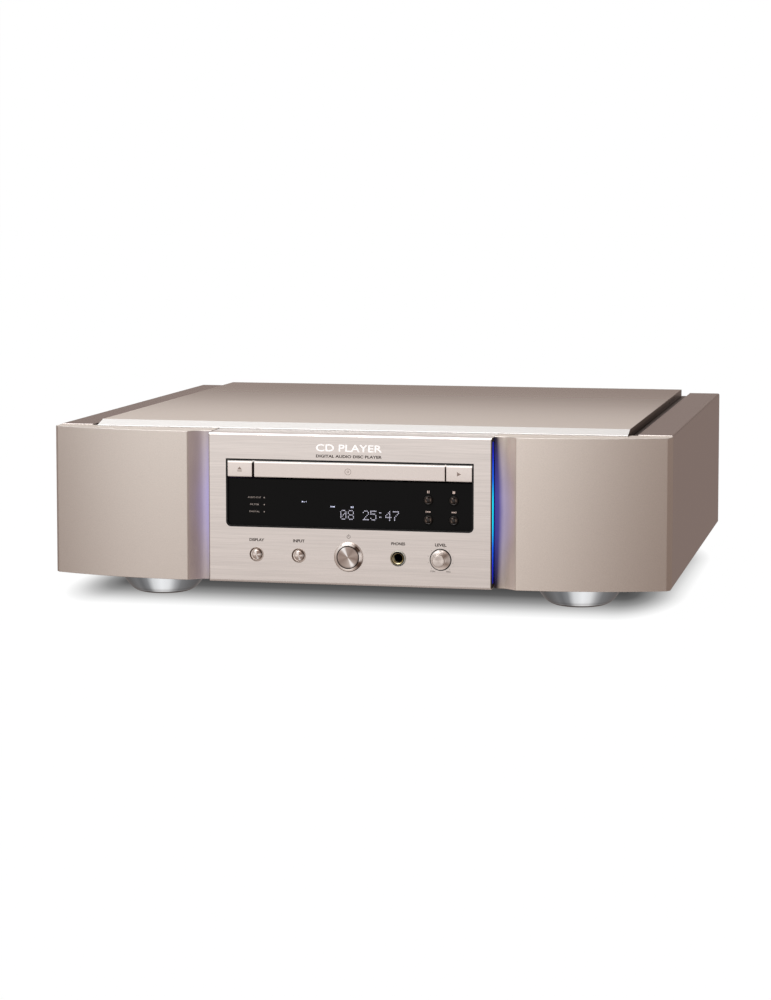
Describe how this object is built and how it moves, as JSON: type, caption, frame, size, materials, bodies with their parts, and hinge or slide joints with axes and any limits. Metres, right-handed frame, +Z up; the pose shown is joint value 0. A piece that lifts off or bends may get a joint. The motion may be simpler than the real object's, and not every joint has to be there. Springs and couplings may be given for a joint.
{
  "type": "cd player",
  "caption": "Full-size hi-fi CD player with a champagne-gold case, curved front wings, blue light guides, a motorised disc drawer and turned controls.",
  "frame": {"origin": "centre of the player's box at the level of the surface it stands on", "axes": "+X to the right seen from the front, -Y out of the front, +Z up"},
  "size_m": [0.44, 0.419, 0.127],
  "materials": {
    "blasted_gold": "bead-blasted champagne-gold anodised aluminium, satin",
    "brushed_gold": "champagne-gold anodised aluminium, brushed along its length",
    "satin_silver": "die-cast aluminium, satin silver",
    "polished_metal": "polished and turned metal",
    "zinc_steel": "zinc-plated steel",
    "copper_plate": "copper-plated steel, satin",
    "gold_plate": "gold-plated brass",
    "black_gloss": "black gloss acrylic",
    "black_plastic": "moulded black plastic, fine texture",
    "grey_plastic": "moulded grey plastic",
    "white_plastic": "white acetal",
    "rubber": "matt black rubber",
    "circuit_board": "green circuit board with its parts",
    "light_guide": "clear light guide glowing blue"
  },
  "bodies": {
    "housing": {"top_cover": "blasted_gold", "left_side_panel": "blasted_gold", "right_side_panel": "blasted_gold", "left_front_wing": "blasted_gold", "right_front_wing": "blasted_gold", "left_light_guide": "light_guide", "right_light_guide": "light_guide", "front_centre_panel": "brushed_gold", "front_subpanel": "zinc_steel", "base_chassis": "copper_plate", "bottom_plate": "copper_plate", "rear_panel": "blasted_gold", "front_left_foot": "satin_silver", "front_left_foot_pad": "rubber", "rear_left_foot": "satin_silver", "rear_left_foot_pad": "rubber", "front_right_foot": "satin_silver", "front_right_foot_pad": "rubber", "rear_right_foot": "satin_silver", "rear_right_foot_pad": "rubber", "display_window": "black_gloss", "display_module": "grey_plastic", "front_button_board": "circuit_board", "power_bezel": "polished_metal", "phones_jack": "gold_plate", "level_pot": "zinc_steel", "loader_frame": "black_plastic", "loading_motor": "zinc_steel", "drive_belt": "rubber", "transformer": "copper_plate", "power_supply_board": "circuit_board", "main_board": "circuit_board", "analogue_board": "circuit_board", "phono_sockets": "gold_plate", "balanced_sockets": "polished_metal", "digital_sockets": "black_plastic", "ac_inlet": "black_plastic"},
    "drawer": {"disc_tray": "black_plastic", "tray_door": "brushed_gold"},
    "drawer_gear": {"tray_gear": "white_plastic"},
    "motor_pulley": {"motor_pulley": "white_plastic"},
    "clamp": {"clamp_arm": "zinc_steel"},
    "clamp_puck": {"disc_clamp": "black_plastic"},
    "traverse": {"traverse_frame": "zinc_steel", "spindle_motor": "zinc_steel", "sled_rail": "polished_metal", "sled_motor": "zinc_steel"},
    "spindle": {"turntable": "black_plastic"},
    "sled": {"pickup_sled": "grey_plastic"},
    "screw": {"lead_screw": "white_plastic"},
    "eject": {"eject_button": "brushed_gold"},
    "play": {"play_button": "brushed_gold"},
    "pause": {"pause_button": "black_gloss"},
    "stop": {"stop_button": "black_gloss"},
    "previous": {"previous_button": "black_gloss"},
    "next": {"next_button": "black_gloss"},
    "display": {"display_button": "polished_metal"},
    "input": {"input_button": "polished_metal"},
    "power": {"power_button": "brushed_gold"},
    "level": {"level_knob": "brushed_gold"}
  },
  "joints": [
    {"name": "tray_slide", "type": "slide", "parent": "housing", "child": "drawer", "axis": [0, -1, 0], "range_m": [0, 0.14]},
    {"name": "tray_gear_turn", "type": "hinge", "parent": "housing", "child": "drawer_gear", "pos_m": [-0.072, -0.156, 0.082], "axis": [0, 0, 1], "range_deg": [-672, 2]},
    {"name": "motor_pulley_turn", "type": "hinge", "parent": "housing", "child": "motor_pulley", "pos_m": [-0.072, -0.112, 0.082], "axis": [0, 0, 1], "range_deg": [-2312, 5]},
    {"name": "clamp_lift", "type": "hinge", "parent": "housing", "child": "clamp", "pos_m": [0, -0.04, 0.1075], "axis": [-1, 0, 0], "range_deg": [0, 5.5]},
    {"name": "clamp_spin", "type": "hinge", "parent": "clamp", "child": "clamp_puck", "pos_m": [0, -0.118, 0.102], "axis": [0, 0, 1], "continuous": true},
    {"name": "traverse_tilt", "type": "hinge", "parent": "housing", "child": "traverse", "pos_m": [0, -0.036, 0.081], "axis": [1, 0, 0], "range_deg": [0, 4.2]},
    {"name": "turntable_spin", "type": "hinge", "parent": "traverse", "child": "spindle", "pos_m": [0, -0.118, 0.096], "axis": [0, 0, 1], "continuous": true},
    {"name": "sled_slide", "type": "slide", "parent": "traverse", "child": "sled", "axis": [0, 1, 0], "range_m": [0, 0.034]},
    {"name": "lead_screw_turn", "type": "hinge", "parent": "traverse", "child": "screw", "pos_m": [0.022, -0.072, 0.085], "axis": [0, 1, 0], "range_deg": [-2, 2045]},
    {"name": "eject_press", "type": "slide", "parent": "housing", "child": "eject", "axis": [0, 1, 0], "range_m": [0, 0.001], "stiffness_N_per_m": 400},
    {"name": "play_press", "type": "slide", "parent": "housing", "child": "play", "axis": [0, 1, 0], "range_m": [0, 0.001], "stiffness_N_per_m": 400},
    {"name": "pause_press", "type": "slide", "parent": "housing", "child": "pause", "axis": [0, 1, 0], "range_m": [0, 0.001], "stiffness_N_per_m": 250},
    {"name": "stop_press", "type": "slide", "parent": "housing", "child": "stop", "axis": [0, 1, 0], "range_m": [0, 0.001], "stiffness_N_per_m": 250},
    {"name": "previous_press", "type": "slide", "parent": "housing", "child": "previous", "axis": [0, 1, 0], "range_m": [0, 0.001], "stiffness_N_per_m": 250},
    {"name": "next_press", "type": "slide", "parent": "housing", "child": "next", "axis": [0, 1, 0], "range_m": [0, 0.001], "stiffness_N_per_m": 250},
    {"name": "display_press", "type": "slide", "parent": "housing", "child": "display", "axis": [0, 1, 0], "range_m": [0, 0.001], "stiffness_N_per_m": 250},
    {"name": "input_press", "type": "slide", "parent": "housing", "child": "input", "axis": [0, 1, 0], "range_m": [0, 0.001], "stiffness_N_per_m": 250},
    {"name": "power_press", "type": "slide", "parent": "housing", "child": "power", "axis": [0, 1, 0], "range_m": [0, 0.001], "stiffness_N_per_m": 400},
    {"name": "level_turn", "type": "hinge", "parent": "housing", "child": "level", "pos_m": [0.0647, -0.2, 0.0381], "axis": [0, -1, 0], "range_deg": [-150, 150]}
  ],
  "couplings": [
    {"joint": "tray_gear_turn", "follows": "tray_slide", "rad_per_m": -83.333},
    {"joint": "motor_pulley_turn", "follows": "tray_slide", "rad_per_m": -271.37},
    {"joint": "clamp_lift", "follows": "tray_slide", "rad_per_m": 0.66},
    {"joint": "traverse_tilt", "follows": "tray_slide", "rad_per_m": 0.5},
    {"joint": "clamp_spin", "follows": "turntable_spin", "ratio": 1},
    {"joint": "lead_screw_turn", "follows": "sled_slide", "rad_per_m": 1047.2}
  ]
}
